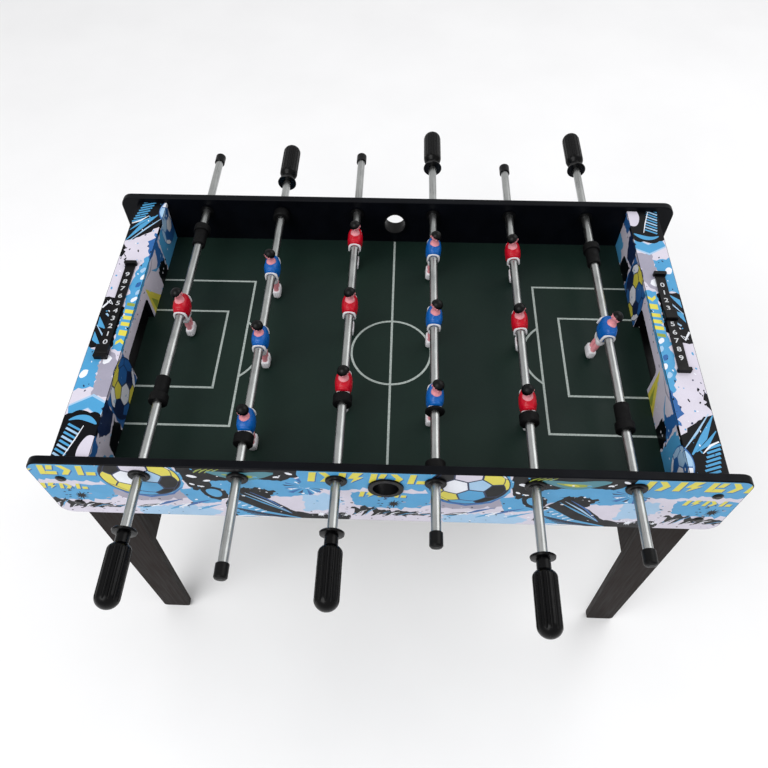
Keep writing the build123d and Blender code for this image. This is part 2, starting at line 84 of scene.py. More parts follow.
class Shade:
    """A material under construction: its constants are set on the shader, its detail comes from nodes."""

    def __init__(self, name, rough, specular=0.5, metal=0.0, coat=0.0, coat_rough=0.1):
        self.material = bpy.data.materials.new(name)
        self.material.use_nodes = True
        self.tree = self.material.node_tree
        self.shader = next(n for n in self.tree.nodes if n.type == "BSDF_PRINCIPLED")
        put = self.shader.inputs
        put["Roughness"].default_value = rough
        put["Specular IOR Level"].default_value = specular
        put["Metallic"].default_value = metal
        put["Coat Weight"].default_value = coat
        put["Coat Roughness"].default_value = coat_rough
        self.place = self.tree.nodes.new("ShaderNodeTexCoord").outputs["Object"]
        self.normal = None

    def node(self, kind, **values):
        made = self.tree.nodes.new(kind)
        for key, value in values.items():
            self.feed(made.inputs[key.replace("_", " ")], value)
        return made

    def feed(self, socket, value):
        if isinstance(value, bpy.types.NodeSocket):
            self.tree.links.new(value, socket)
        else:
            socket.default_value = value

    def noise(self, scale, detail=3.0, stretch=(1, 1, 1)):
        """Noise whose features are about 1/scale metres, pulled out along an axis where stretch is small."""
        at = self.node("ShaderNodeMapping", Vector=self.place, Scale=stretch).outputs["Vector"]
        return self.node("ShaderNodeTexNoise", Vector=at, Scale=scale, Detail=detail).outputs["Fac"]

    def ramp(self, value, start, end, low=0.0, high=1.0):
        made = self.node("ShaderNodeMapRange", Value=value)
        for key, number in (("From Min", start), ("From Max", end), ("To Min", low), ("To Max", high)):
            made.inputs[key].default_value = number
        return made.outputs["Result"]

    def cloud(self, scale, detail=3.0, stretch=(1, 1, 1), low=0.0, high=1.0):
        """Noise spread over low to high. Nearly all raw noise lies between 0.3 and 0.7."""
        return self.ramp(self.noise(scale, detail, stretch), 0.3, 0.7, low, high)

    def times(self, a, b):
        made = self.tree.nodes.new("ShaderNodeMath")
        made.operation = "MULTIPLY"
        self.feed(made.inputs[0], a)
        self.feed(made.inputs[1], b)
        return made.outputs["Value"]

    def mix(self, factor, a, b):
        made = self.tree.nodes.new("ShaderNodeMix")
        made.data_type = "RGBA"
        for socket, value in ((made.inputs[0], factor), (made.inputs[6], a), (made.inputs[7], b)):
            self.feed(socket, (*value, 1) if isinstance(value, tuple) else value)
        return made.outputs[2]

    def edges(self, radius):
        """1 within about radius of a sharp edge, 0 on flat faces, by how far the rounded normal turns."""
        flat, turned_away = 0.995, 0.86
        soft = self.node("ShaderNodeBevel", Radius=radius).outputs["Normal"]
        true = self.tree.nodes.new("ShaderNodeNewGeometry").outputs["True Normal"]
        dot = self.tree.nodes.new("ShaderNodeVectorMath")
        dot.operation = "DOT_PRODUCT"
        self.tree.links.new(soft, dot.inputs[0])
        self.tree.links.new(true, dot.inputs[1])
        return self.ramp(dot.outputs["Value"], flat, turned_away)

    def color(self, value):
        self.tree.links.new(value, self.shader.inputs["Base Color"])

    def rough(self, value):
        self.tree.links.new(value, self.shader.inputs["Roughness"])

    def bump(self, height, microns):
        made = self.node("ShaderNodeBump", Height=height, Strength=1.0, Distance=microns * MICRON)
        if self.normal is not None:
            self.tree.links.new(self.normal, made.inputs["Normal"])
        self.normal = made.outputs["Normal"]
        self.tree.links.new(self.normal, self.shader.inputs["Normal"])


def ink(name, code, gloss=0.2):
    """Printed film: fine grain in the colour, a slightly pebbled clear surface, faint handling marks."""
    s = Shade("ink_" + name, 0.36, specular=gloss)
    base = rgb(code)
    grain = s.ramp(s.noise(1600, 2), 0.35, 0.65)
    cloud = s.cloud(45, 4, high=0.55)
    s.color(s.mix(cloud, s.mix(grain, scaled(base, 0.93), scaled(base, 1.06)), scaled(base, 0.87)))
    s.rough(s.ramp(s.noise(60, 5), 0.3, 0.75, 0.30, 0.46))
    s.bump(s.noise(700, 3), 30)
    return s.material


def board(name, dark, light, specular, edge):
    """Black foil on fibreboard: fine pebble, faint wipe marks, edges rubbed a little lighter."""
    s = Shade(name, 0.42, specular=specular)
    wear = s.times(s.edges(0.0012), s.ramp(s.noise(140, 4), 0.35, 0.65, 0.25, 1.0))
    body = s.mix(s.cloud(26, 5), rgb(dark), rgb(light))
    s.color(s.mix(wear, body, rgb(edge)))
    s.rough(s.cloud(70, 5, (1, 1, 0.4), low=0.34, high=0.5))
    s.bump(s.noise(1100, 2), 40)
    s.bump(s.noise(90, 3), 60)
    return s.material


def leg_board():
    """Dark brown-black wood-print foil: grain that runs down the leg, pores, near-black edge banding."""
    s = Shade("leg_foil", 0.48, specular=0.04)
    grain = s.ramp(s.noise(260, 5, (1, 1, 0.05)), 0.34, 0.68)
    wide = s.cloud(38, 4, (1, 1, 0.12))
    face = s.mix(grain, rgb("120B09"), rgb("1D130F"))
    face = s.mix(s.times(wide, 0.5), face, rgb("170F0C"))
    edge = s.edges(0.0016)
    s.color(s.mix(edge, face, rgb("080707")))
    s.rough(s.ramp(grain, 0, 1, 0.38, 0.52))
    s.bump(grain, 60)
    return s.material


def field_board():
    """Dark green printed field: matt film with a fine tooth, worn shiny in soft clouds."""
    s = Shade("field_green", 0.4, specular=0.14)
    cloud = s.cloud(7, 4)
    fine = s.cloud(900, 3)
    green = s.mix(cloud, rgb("101D1B"), rgb("15251F"))
    s.color(s.mix(s.times(fine, 0.35), green, rgb("1B2E28")))
    s.rough(s.cloud(18, 5, low=0.36, high=0.52))
    s.bump(s.noise(1400, 2), 40)
    return s.material


def line_paint():
    s = Shade("field_line", 0.45, specular=0.3)
    worn = s.ramp(s.noise(420, 4), 0.4, 0.75)
    s.color(s.mix(worn, rgb("A9B2AE"), rgb("7F8B87")))
    s.bump(s.noise(1400, 2), 40)
    return s.material


def moulded(name, dark, light, rough, specular=0.45, coat=0.0, pebble=30, grain=900):
    """Injection-moulded plastic or rubber: faint flow clouds, fine texture, dulled where it is handled."""
    s = Shade(name, rough, specular=specular, coat=coat, coat_rough=0.15)
    cloud = s.cloud(55, 4)
    body = s.mix(cloud, rgb(dark), rgb(light))
    rub = s.times(s.edges(0.0006), s.ramp(s.noise(300, 3), 0.35, 0.7, 0.0, 0.6))
    s.color(s.mix(rub, body, scaled(rgb(light), 1.7)))
    s.rough(s.cloud(120, 5, low=rough * 0.8, high=rough * 1.25))
    s.bump(s.noise(grain, 3), pebble)
    return s.material


def metal(name, dark, light, rough, stretch, scale):
    """Plated steel with drawn lines and light scuffs."""
    s = Shade(name, rough, metal=1.0)
    lines = s.cloud(scale, 5, stretch)
    cloud = s.cloud(30, 4)
    s.color(s.mix(cloud, s.mix(lines, rgb(dark), rgb(light)), rgb(light)))
    s.rough(s.ramp(lines, 0, 1, rough * 0.8, rough * 1.3))
    s.bump(lines, 12)
    return s.material


def enamel(name, code, rough=0.34, gloss=0.35):
    """Coloured moulded plastic of a player: slight mottling and a soft gloss."""
    s = Shade(name, rough, specular=gloss)
    base = rgb(code)
    mottle = s.cloud(220, 4)
    s.color(s.mix(mottle, scaled(base, 0.86), scaled(base, 1.08)))
    s.rough(s.cloud(160, 4, low=rough * 0.8, high=rough * 1.2))
    s.bump(s.noise(800, 3), 30)
    return s.material


# Name, colour, and gloss where it isn't the usual
INKS = {name: ink(name, *look) for name, *look in (
    ("paper", "CFCAD8"), ("white", "E4E7EF"), ("sky", "4A98C8"), ("pale", "9DC0DE"), ("blue", "285F9E"),
    ("navy", "17264A"), ("black", "07080C", 0.11), ("grey", "9A97A8"), ("yellow", "D6CC4E"),
    ("olive", "8D9A3C"), ("teal", "467F8C"))}

BOARD = board("board_black", "030408", "07090F", 0.09, "17181E")
PLASTIC = moulded("plastic_black", "040405", "09090B", 0.38, 0.15)
GLOSS = moulded("plastic_gloss", "030304", "070709", 0.2, 0.18, coat=0.06)
HANDLE = moulded("handle_black", "010102", "030304", 0.28, 0.13, coat=0.03)
RUBBER = moulded("rubber_black", "040405", "0A0A0B", 0.6, 0.12, pebble=80, grain=500)
LINER = moulded("liner_nylon", "0B0B0C", "151517", 0.45, 0.2)
TUBE = metal("tube_steel", "7E8081", "B4B6B5", 0.3, (1, 0.03, 1), 900)
ZINC = metal("zinc_steel", "7D7F80", "B5B6B4", 0.38, (1, 1, 1), 700)
LEG = leg_board()
FIELD = field_board()
PAINTS = {**INKS, "line": line_paint()}

# The first word found in a CAD node's name gives its material
FINISH = [
    ("playing_field", FIELD),
    ("_tube", TUBE),
    ("_liners", LINER),
    ("_handle", HANDLE),
    ("_end_cap", PLASTIC),
    ("_bumpers", RUBBER),
    ("wall_bumper_rings", RUBBER),
    ("side_panel_screws", GLOSS),
    ("leg_bolts", ZINC),
    ("_leg", LEG),
    ("leg_aprons", LEG),
    ("rod_bushings", PLASTIC),
    ("ball_entry_cups", PLASTIC),
    ("goal_box", PLASTIC),
    ("score", PLASTIC),
    ("", BOARD),
]
for node_name, node in NODES.items():
    finish = next(f for word, f in FINISH if word in node_name)
    node.data.materials.clear()
    node.data.materials.append(finish)


def mesh_object(name, points, faces, materials, paints=()):
    """A mesh in the scene. paints gives each face the number of its material."""
    mesh = bpy.data.meshes.new(name)
    mesh.from_pydata(points, [], faces)
    for material in materials:
        mesh.materials.append(material)
    if paints:
        mesh.polygons.foreach_set("material_index", paints)
    made = bpy.data.objects.new(name, mesh)
    bpy.context.scene.collection.objects.link(made)
    return made


# ---------------------------------------------------------------- drawing in millimetres

dice = random.Random(5)        # panel_cell and end_art each seed it again


def rough(loop, amount=1.4, step=5.0):
    """The loop with a torn, brushed edge: mostly calm, with some long tears, and calmer at its corners."""
    tear_chance, tear, calm, at_corner = 0.14, 2.2, 0.8, 0.4
    made = []
    for (x0, y0), (x1, y1) in zip(loop, loop[1:] + loop[:1]):
        run = math.hypot(x1 - x0, y1 - y0)
        count = max(1, round(run / step))
        for k in range(count):
            off = dice.gauss(0, amount) * (tear if dice.random() < tear_chance else calm)
            off *= at_corner if k == 0 else 1
            t = k / count
            made.append((x0 + (x1 - x0) * t + (y1 - y0) / run * off,
                         y0 + (y1 - y0) * t - (x1 - x0) / run * off))
    return made


def smooth(loop, times=2):
    """The loop with its corners cut until it is a curve."""
    for _ in range(times):
        made = []
        for (x0, y0), (x1, y1) in zip(loop, loop[1:] + loop[:1]):
            made.append((0.75 * x0 + 0.25 * x1, 0.75 * y0 + 0.25 * y1))
            made.append((0.25 * x0 + 0.75 * x1, 0.25 * y0 + 0.75 * y1))
        loop = made
    return loop


def bar(x0, x1, y0, y1):
    return [(x0, y0), (x1, y0), (x1, y1), (x0, y1)]


def oval(x, y, rx, ry, turn=0.0, count=18, wobble=0.0):
    """An ellipse turned by degrees, its points moved in and out by up to wobble of their distance."""
    made = []
    c, s = math.cos(math.radians(turn)), math.sin(math.radians(turn))
    for k in range(count):
        a = 2 * math.pi * k / count
        w = 1 + dice.uniform(-wobble, wobble)
        u, v = rx * w * math.cos(a), ry * w * math.sin(a)
        made.append((x + u * c - v * s, y + u * s + v * c))
    return made


def brush(points, widths):
    """A brush stroke along points, as wide as widths at each."""
    left, right = [], []
    for k, (x, y) in enumerate(points):
        x0, y0 = points[max(0, k - 1)]
        x1, y1 = points[min(len(points) - 1, k + 1)]
        run = math.hypot(x1 - x0, y1 - y0)
        dx, dy = -(y1 - y0) / run * widths[k] / 2, (x1 - x0) / run * widths[k] / 2
        left.append((x + dx, y + dy))
        right.append((x - dx, y - dy))
    return left + right[::-1]


def splash(x, y, size, arms=13):
    """A paint splash with pointed arms and its thrown drops, as a list of loops."""
    made = []
    for k in range(arms):
        a = 2 * math.pi * (k + dice.uniform(-0.3, 0.3)) / arms
        far = size * dice.uniform(0.75, 1.5)
        near = size * dice.uniform(0.45, 0.65)
        b = a + math.pi / arms
        made.append((x + far * math.cos(a), y + far * math.sin(a)))
        made.append((x + near * math.cos(b), y + near * math.sin(b)))
    drops = []
    for _ in range(arms // 2):
        a, far = dice.uniform(0, 2 * math.pi), size * dice.uniform(1.5, 2.4)
        r = size * dice.uniform(0.06, 0.17)
        drops.append(oval(x + far * math.cos(a), y + far * math.sin(a), r * 1.5, r, math.degrees(a), 8))
    return [made] + drops


def ball_faces():
    """The 12 pentagons and 20 hexagons of a football, as corner directions."""
    g = (1 + 5 ** 0.5) / 2
    tips = [Vector(p).normalized() for a in (-1, 1) for b in (-g, g)
            for p in ((0, a, b), (a, b, 0), (b, 0, a))]
    near = {i: [j for j in range(12) if j != i and (tips[i] - tips[j]).length < 1.1] for i in range(12)}
    faces = []
    for i in range(12):
        axis = tips[i]
        side = axis.orthogonal().normalized()
        other = axis.cross(side)
        ring = sorted(near[i], key=lambda j: math.atan2(tips[j].dot(other), tips[j].dot(side)))
        faces.append((5, [(2 * tips[i] + tips[j]) / 3 for j in ring]))
    for i in range(12):
        for j in near[i]:
            for k in near[i]:
                if i < j < k and k in near[j]:
                    a, b, c = tips[i], tips[j], tips[k]
                    hexagon = [(2 * a + b) / 3, (a + 2 * b) / 3, (2 * b + c) / 3,
                               (b + 2 * c) / 3, (2 * c + a) / 3, (c + 2 * a) / 3]
                    faces.append((6, hexagon))
    return faces


BALL = ball_faces()
SEAM = 0.075           # how far a patch's corners are drawn in to its middle
PAST_RIM = -0.15       # patches whose middle is this far round the ball still show at its rim
PATCH_RIM = 0.97       # patches stop at this part of the radius


def football(x, y, radius, turn, colors, seam="navy"):
    """A football seen from one side. colors maps each shown face, from its middle, to an ink."""
    layers = [(oval(x, y, radius, radius, count=48), seam)]
    spin = Matrix.Rotation(math.radians(turn[0]), 3, "X") @ Matrix.Rotation(math.radians(turn[1]), 3, "Y")
    for sides, corners in BALL:
        corners = [(spin @ c).normalized() for c in corners]
        middle = sum(corners, Vector()).normalized()
        if middle.z < PAST_RIM:
            continue
        loop = []
        for a, b in zip(corners, corners[1:] + corners[:1]):
            for t in (0, 0.34, 0.67):
                p = a.lerp(b, t).lerp(middle, SEAM).normalized()
                flat = Vector((p.x, p.y))
                if p.z < 0:
                    flat.normalize()
                flat *= PATCH_RIM
                loop.append((x + radius * flat.x, y + radius * flat.y))
        layers.append((loop, colors(sides, middle)))
    return layers


def nearest_ink(spots, pentagon):
    """Face colours by the nearest named spot on the ball."""
    def pick(sides, middle):
        spot = min(spots, key=lambda s: (s[0] - middle.x) ** 2 + (s[1] - middle.y) ** 2)
        return pentagon if sides == 5 and spot[2] in ("white", "paper") else spot[2]
    return pick


def slab(x, y, w, h, lean=4):
    """A leaning bar."""
    return [(x + lean, y), (x + w + lean, y), (x + w, y + h), (x, y + h)]


def bolt_mark(x, y, w, h):
    """A zigzag mark."""
    return [(x + 0.35 * w, y), (x + w, y), (x + 0.62 * w, y + 0.42 * h), (x + w, y + 0.42 * h),
            (x + 0.15 * w, y + h), (x + 0.38 * w, y + 0.58 * h), (x, y + 0.58 * h)]


def chevron(x, y, w, h):
    """An arrowhead that points along x."""
    return [(x, y), (x + 0.5 * w, y), (x + w, y + h / 2), (x + 0.5 * w, y + h), (x, y + h),
            (x + 0.45 * w, y + h / 2)]


def shifted(layers, dx):
    """Drawn layers moved along x."""
    return [([(x + dx, y) for x, y in loop], name) for loop, name in layers]


def specks(x0, x1, y0, y1, count, small, large, inks):
    """Small drops of ink thrown over an area."""
    longest, wobble = 2.2, 0.25
    made = []
    for _ in range(count):
        r = dice.uniform(small, large)
        made.append((oval(dice.uniform(x0, x1), dice.uniform(y0, y1), r * dice.uniform(1, longest), r,
                          dice.uniform(-40, 40), 7, wobble), dice.choice(inks)))
    return made


def shoe():
    """A striped boot, heel up at the left and toe down at the right."""
    collar = [(70, 56), (86, 50), (104, 58), (108, 80), (96, 94), (76, 84)]
    made = [(rough(smooth(collar, 1), 0.8, 6), "black"),
            (smooth([(77, 61), (88, 57), (98, 63), (99, 77), (90, 84), (80, 76)]), "sky")]
    body = [(96, 126), (98, 100), (106, 84), (118, 66), (131, 50), (142, 62), (154, 78), (176, 104),
            (200, 132), (210, 150), (110, 150)]
    made.append((rough(body, 0.7, 8), "black"))
    made.append(([(101, 120), (105, 98), (113, 86), (150, 122), (196, 141), (206, 149), (112, 147)], "sky"))
    for k in range(9):
        x, y = 104 + 4.6 * k, 112 + 4.2 * k
        made.append((brush([(x, y), (x + 44, 130 + 1.8 * k), (204, 146)], (2.2, 1.8, 0.5)),
                     ("black", "navy")[k % 2]))
    for k in range(3):
        stripe = [(122 + 7 * k, 70 - 3 * k), (150 + 5 * k, 96 - 4 * k), (186, 128)]
        made.append((brush(stripe, (0.6, 3.4, 0.6)), ("sky", "pale", "blue")[k]))
    for k in range(7):
        made.append((brush([(95 + 8 * k, 90 + 6 * k), (103 + 8 * k, 86 + 6 * k)], (2.8, 1.4)), "white"))
    made.append((brush([(92, 147), (120, 139), (160, 142), (205, 149)], (4, 3, 3, 2)), "white"))
    return made


def panel_cell():
    """One repeat of the long panels' print, about its football. y runs down from the rim."""
    dice.seed(11)
    top_left = [(-217, -4), (-50, -4), (-48, 20), (-58, 47), (-120, 43), (-170, 51), (-217, 47)]
    art = [
        (rough(top_left, 1.8), "sky"),
        (rough([(-152, 56), (-30, 55), (-36, 80), (-60, 99), (-122, 103), (-150, 92)], 2), "sky"),
        (rough([(-217, 70), (-176, 62), (-160, 84), (-184, 112), (-217, 120)], 2.4), "pale"),
        (rough([(-45, 62), (62, 62), (68, 80), (40, 96), (-30, 98), (-50, 84)], 2), "grey"),
        (rough([(55, 18), (232, 18), (228, 60), (190, 76), (120, 72), (60, 74)], 2), "sky"),
        (rough([(44, 60), (86, 56), (92, 98), (52, 104)], 2), "sky"),
        (rough([(-30, 118), (50, 108), (90, 128), (60, 150), (-24, 150)], 2.5), "pale"),
    ]
    for k in range(7):
        x = -22 + 13 * k
        y = 124 - 6 * (k % 3)
        art.append((brush([(x, y), (x + 14, y - 9), (x + 36, y - 20)], (2, 6, 0.8)),
                    ("sky", "white", "blue")[k % 3]))
    art += [(rough([(50, -4), (206, -4), (205, 18), (182, 30), (142, 25), (112, 34), (88, 38), (86, 60),
                    (62, 62), (52, 30)], 1.8), "black"),
            (rough([(118, 56), (150, 50), (172, 62), (160, 82), (140, 76)], 1.6), "black")]
    for x, y, rx, ry, turn in ((68, 24, 7, 3.4, 20), (86, 35, 5, 2.4, -10), (64, 46, 4, 2, 40),
                               (76, 52, 3, 2, 0), (194, 10, 5, 2.6, 30), (176, 20, 3.6, 2, -20)):
        art.append((oval(x, y, rx, ry, turn, 14, 0.08), "white"))
    for k in range(4):
        art.append((brush([(73 + 7 * k, 14), (78 + 7 * k, 8), (86 + 7 * k, 3)], (1.2, 3, 0.8)), "olive"))
    lens = [(85, 9), (100, 20), (118, 29), (136, 33), (156, 26), (180, 9), (160, 6), (130, 12), (106, 9)]
    art += [(smooth(lens, 1), "teal"),
            (smooth([(104, 15), (122, 24), (138, 27), (156, 20), (138, 17), (120, 17)], 1), "olive"),
            (smooth([(114, 18), (128, 23), (140, 23), (130, 19)], 1), "yellow")]
    spots = [(-0.65, -0.15, "black"), (-0.85, 0.45, "yellow"), (-0.1, 0.55, "sky"), (0.5, 0.42, "black"),
             (0.72, -0.2, "yellow"), (0.05, -0.25, "white"), (0.0, -0.8, "paper"), (-0.4, -0.6, "pale"),
             (0.35, -0.62, "white"), (0.1, 0.95, "sky"), (-0.45, 0.1, "white"), (0.25, 0.12, "pale")]
    art.append((rough(oval(0, 30, 56, 56, count=24), 1.6, 6), "sky"))
    art += football(0, 30, 52, (34, 18), nearest_ink(spots, "black"))
    art.append((brush([(-49, 52), (-30, 76), (0, 86), (32, 76), (50, 54)], (1, 4, 5, 4, 1)), "blue"))
    for k in range(17):
        a = math.radians(k * 360 / 17 + dice.uniform(-6, 6))
        near, far = dice.uniform(5, 9), dice.uniform(15, 27)
        wide = math.radians(dice.uniform(4, 7))
        art.append(([(212 + near * 1.2 * math.cos(a), 45 + near * math.sin(a)),
                     (212 + far * 1.3 * math.cos(a - wide), 45 + far * math.sin(a - wide)),
                     (212 + far * 1.45 * math.cos(a + wide), 45 + far * 1.05 * math.sin(a + wide))],
                    ("blue", "navy", "blue", "white")[k % 4]))
    art.append((oval(212, 45, 7, 5, 0, 12, 0.15), "white"))
    torn = [(168, 128), (190, 122), (216, 126), (244, 120), (268, 128), (264, 150), (160, 150)]
    art.append((rough(torn, 3, 5), "black"))
    art += shoe()
    for k in range(3):
        for loop in splash(226 + 17 * k, 128 - 5 * (k % 2), 6 - k, 11):
            art.append((loop, ("white", "pale", "white")[k]))
    art.append((rough([(-160, 104), (-140, 98), (-112, 108), (-74, 112), (-48, 120), (-76, 124), (-120, 120),
                       (-150, 118)], 3.2, 4), "black"))
    for k in range(11):
        x = -158 + 13 * k + dice.uniform(-6, 6)
        low, high = 132 - k + dice.uniform(-7, 5), 104 + k + dice.uniform(-8, 8)
        lean = dice.uniform(8, 34)
        art.append((brush([(x, low), (x + lean * 0.4, (low + high) / 2 + 2), (x + lean, high)],
                          (0.8, dice.uniform(3.5, 9.5), 0.8)), "black"))
        light = [(x + 5, low - 2), (x + 4 + lean * 0.4, (low + high) / 2), (x + 3 + lean, high + 5)]
        art.append((brush(light, (0.5, dice.uniform(1, 2.8), 0.5)), ("white", "sky")[k % 2]))
    for loop in splash(-96, 88, 9, 13):
        art.append((loop, "black"))
    for loop in splash(-176, 130, 7, 11):
        art.append((loop, "navy"))
    marks = [slab(-206, 4, 9, 25), chevron(-190, 4, 17, 25), slab(-168, 4, 9, 25), bolt_mark(-154, 3, 20, 27),
             slab(-128, 4, 8, 25), slab(-116, 4, 8, 12), slab(-120, 20, 14, 9, 2), chevron(-100, 4, 16, 25),
             slab(-79, 4, 8, 25), slab(-68, 20, 12, 9, 2)]
    small = [slab(-142, 54, 6, 15, 3), bolt_mark(-132, 53, 12, 17), slab(-117, 54, 5, 15, 3),
             chevron(-109, 54, 10, 15), slab(-95, 54, 5, 15, 3), slab(-87, 62, 7, 7, 1)]
    for loop in marks + small:
        art.append(([(x + 1.3, y + 1.5) for x, y in loop], "blue"))
        art.append((loop, "yellow"))
    art += specks(-210, -50, 70, 140, 44, 0.4, 1.7, ("black", "navy", "sky", "grey"))
    art += specks(50, 215, 4, 140, 58, 0.4, 1.8, ("white", "black", "sky", "white"))
    art += specks(-50, 60, 90, 140, 26, 0.4, 1.6, ("black", "navy", "white"))
    return art


def end_art():
    """Print of an end's shelf, shelf edge and goal wall.

    x runs to the back, and y runs from the outer edge inwards and then down.
    """
    dice.seed(23)
    art = []
    # Shelf, from the back to the front
    art += [(rough([(150, -4), (246, -4), (246, 56), (150, 56), (156, 30)], 1.5), "black"),
            (brush([(152, 1), (186, 20), (212, 40)], (1, 9, 2)), "sky"),
            (brush([(176, 2), (196, 18), (208, 34)], (1, 6, 1)), "sky"),
            (brush([(150, 6), (180, 28), (204, 48)], (1, 3, 1)), "pale")]
    for k in range(8):
        art.append((brush([(196 + 6.4 * k, 1 + 1.4 * k), (203 + 6.4 * k, 19 + 2 * k)], (3.4, 3.0)), "sky"))
    art += [(brush([(192, 2), (198, 14), (210, 26)], (2, 3, 1)), "white"),
            (rough([(141, -2), (184, 49), (134, 52), (98, 38), (86, 8), (32, -2)], 1.3), "paper"),
            (rough([(150, -3), (130, -3), (112, 4), (124, 6), (138, 5)], 1.2, 4), "black"),
            (rough([(96, 36), (124, 52), (30, 60), (-10, 60), (8, 34), (60, 32)], 1.6), "sky"),
            (rough([(170, 44), (140, 40), (112, 48), (124, 58), (168, 58)], 1.4), "blue"),
            (rough([(34, -4), (30, 20), (12, 34), (-62, 34), (-66, -4)], 1.5), "black"),
            (brush([(11, 1), (26, 10), (17, 15), (22, 8)], (3, 3, 3, 2)), "white"),
            ([(-6, 2), (-30, 17), (-24, 3)], "sky"),
            ([(-34, 2), (-62, 18), (-50, 2)], "sky"),
            (brush([(-22, 2), (-48, 20)], (1, 3)), "pale"),
            (brush([(0, 10), (-14, 24)], (3, 1)), "pale"),
            (rough([(-62, -4), (-136, -4), (-132, 27), (-84, 26), (-66, 16)], 1.6), "sky"),
            (oval(-109, 7, 8, 5, 20, 14, 0.1), "white"),
            (rough([(-62, 30), (-84, 24), (-144, 26), (-148, 52), (-88, 52)], 1.6), "grey"),
            (oval(-84, 33, 8, 6, 15, 12, 0.15), "white"),
            (rough([(8, 34), (18, 54), (-70, 54), (-66, 34)], 1.2), "sky"),
            ([(-160, 1), (-142, 30), (-156, 53), (-180, 47), (-166, 28), (-176, 4)], "pale"),
            ([(-163, 1), (-146, 29), (-158, 51), (-178, 46), (-164, 28), (-178, 5)], "sky"),
            (rough([(-180, -4), (-168, 18), (-172, 44), (-192, 56), (-250, 56), (-250, -4)], 1.4), "black"),
            (smooth([(-186, 4), (-175, 18), (-176, 36), (-192, 50), (-186, 34), (-182, 20)], 2), "sky"),
            (smooth([(-214, 34), (-204, 42), (-214, 58), (-252, 58), (-252, 36), (-232, 30)], 2), "paper"),
            (rough([(-206, 50), (-214, 74), (-250, 78), (-250, 52)], 1.2), "blue")]
    for k in range(9):
        art.append((brush([(-190 - 6.2 * k, 9 - 1.1 * k), (-199 - 6.2 * k, 27 - 1.4 * k)], (3.2, 2.8)),
                    ("sky", "pale")[k % 2]))
    art.append((brush([(-192, 30), (-214, 24), (-244, 14)], (1, 1.6, 1)), "white"))
    for y0, y1, x, h in ((2, 9, 36, 14), (-10, -3, 36, 14), (-22, -15, 36, 14), (-40, -30, 37, 13)):
        art.append(([(y0, x), (y1, x), (y1 - 2, x + h), (y0 - 2, x + h)], "yellow"))
    art += [(chevron(-58, 37, 12, 12), "yellow"), (slab(14, 36, 6, 12, 2), "olive")]
    for k in range(5):
        art.append((oval(28 + 15 * k, 44 + 3 * (k % 2), 6, 3.4, 25, 12, 0.15),
                    ("white", "pale", "blue")[k % 3]))
    # Goal wall, below the shelf's edge
    art += [(rough([(144, 56), (161, 57), (166, 100), (146, 128), (128, 116)], 1.5), "blue"),
            (rough([(168, 60), (250, 56), (250, 130), (166, 130)], 1.6), "sky"),
            (rough([(126, 132), (128, 96), (146, 90), (162, 100), (160, 132)], 1.8), "black"),
            ([(66, 68), (104, 122), (116, 134), (68, 134)], "yellow"),
            ([(74, 96), (92, 122), (78, 130)], "olive"),
            (rough([(-66, 56), (-60, 132), (-150, 132), (-150, 56)], 1.4), "blue"),
            (rough([(-152, 90), (-192, 100), (-196, 132), (-150, 132)], 1.6), "black"),
            (rough([(-250, 74), (-208, 70), (-188, 86), (-216, 96), (-250, 96)], 1.2), "paper"),
            (rough([(-150, 50), (-196, 50), (-200, 66), (-176, 92), (-150, 84)], 1.4), "navy"),
            (rough([(-250, 96), (-214, 92), (-196, 120), (-206, 132), (-250, 132)], 1.4), "sky")]
    spots = [(-0.1, -0.7, "yellow"), (0.6, -0.5, "blue"), (-0.55, 0.1, "navy"), (0.75, 0.3, "white"),
             (0.1, 0.35, "white"), (-0.7, -0.6, "white"), (0.35, 0.85, "yellow"), (-0.3, 0.8, "blue")]
    art += football(-103, 92, 45, (20, 40), nearest_ink(spots, "navy"))
    far_spots = [(0, 0, "white"), (0.6, 0.6, "blue"), (-0.6, -0.5, "pale")]
    art += football(224, 76, 36, (60, 10), nearest_ink(far_spots, "blue"), "blue")
    art += [(brush([(108, 70), (122, 84), (140, 92)], (1, 5, 1)), "sky"),
            (brush([(80, 62), (104, 66), (124, 60)], (1, 4, 1)), "grey")]
    art += specks(-60, 60, 60, 70, 8, 0.5, 1.4, ("black", "sky"))
    art += specks(100, 140, 2, 14, 10, 0.6, 1.8, ("black", "navy"))
    art += specks(-150, 246, 4, 54, 60, 0.4, 1.5, ("white", "black", "sky", "navy"))
    art += specks(-240, 240, 58, 128, 44, 0.5, 1.8, ("white", "black", "sky", "pale"))
    return art


# ---------------------------------------------------------------- printed film on the boards

def inside(points, loop):
    """Which points lie inside the loop."""
    ring = np.array(loop, float)
    low, high = ring.min(0), ring.max(0)
    near = np.all((points >= low) & (points <= high), axis=1)
    found = np.zeros(len(points), bool)
    x, y = points[near, 0], points[near, 1]
    hit = np.zeros(len(x), bool)
    for (x0, y0), (x1, y1) in zip(ring, np.roll(ring, -1, 0)):
        if y0 != y1:
            hit ^= ((y0 > y) != (y1 > y)) & (x < (x1 - x0) * (y - y0) / (y1 - y0) + x0)
    found[near] = hit
    return found


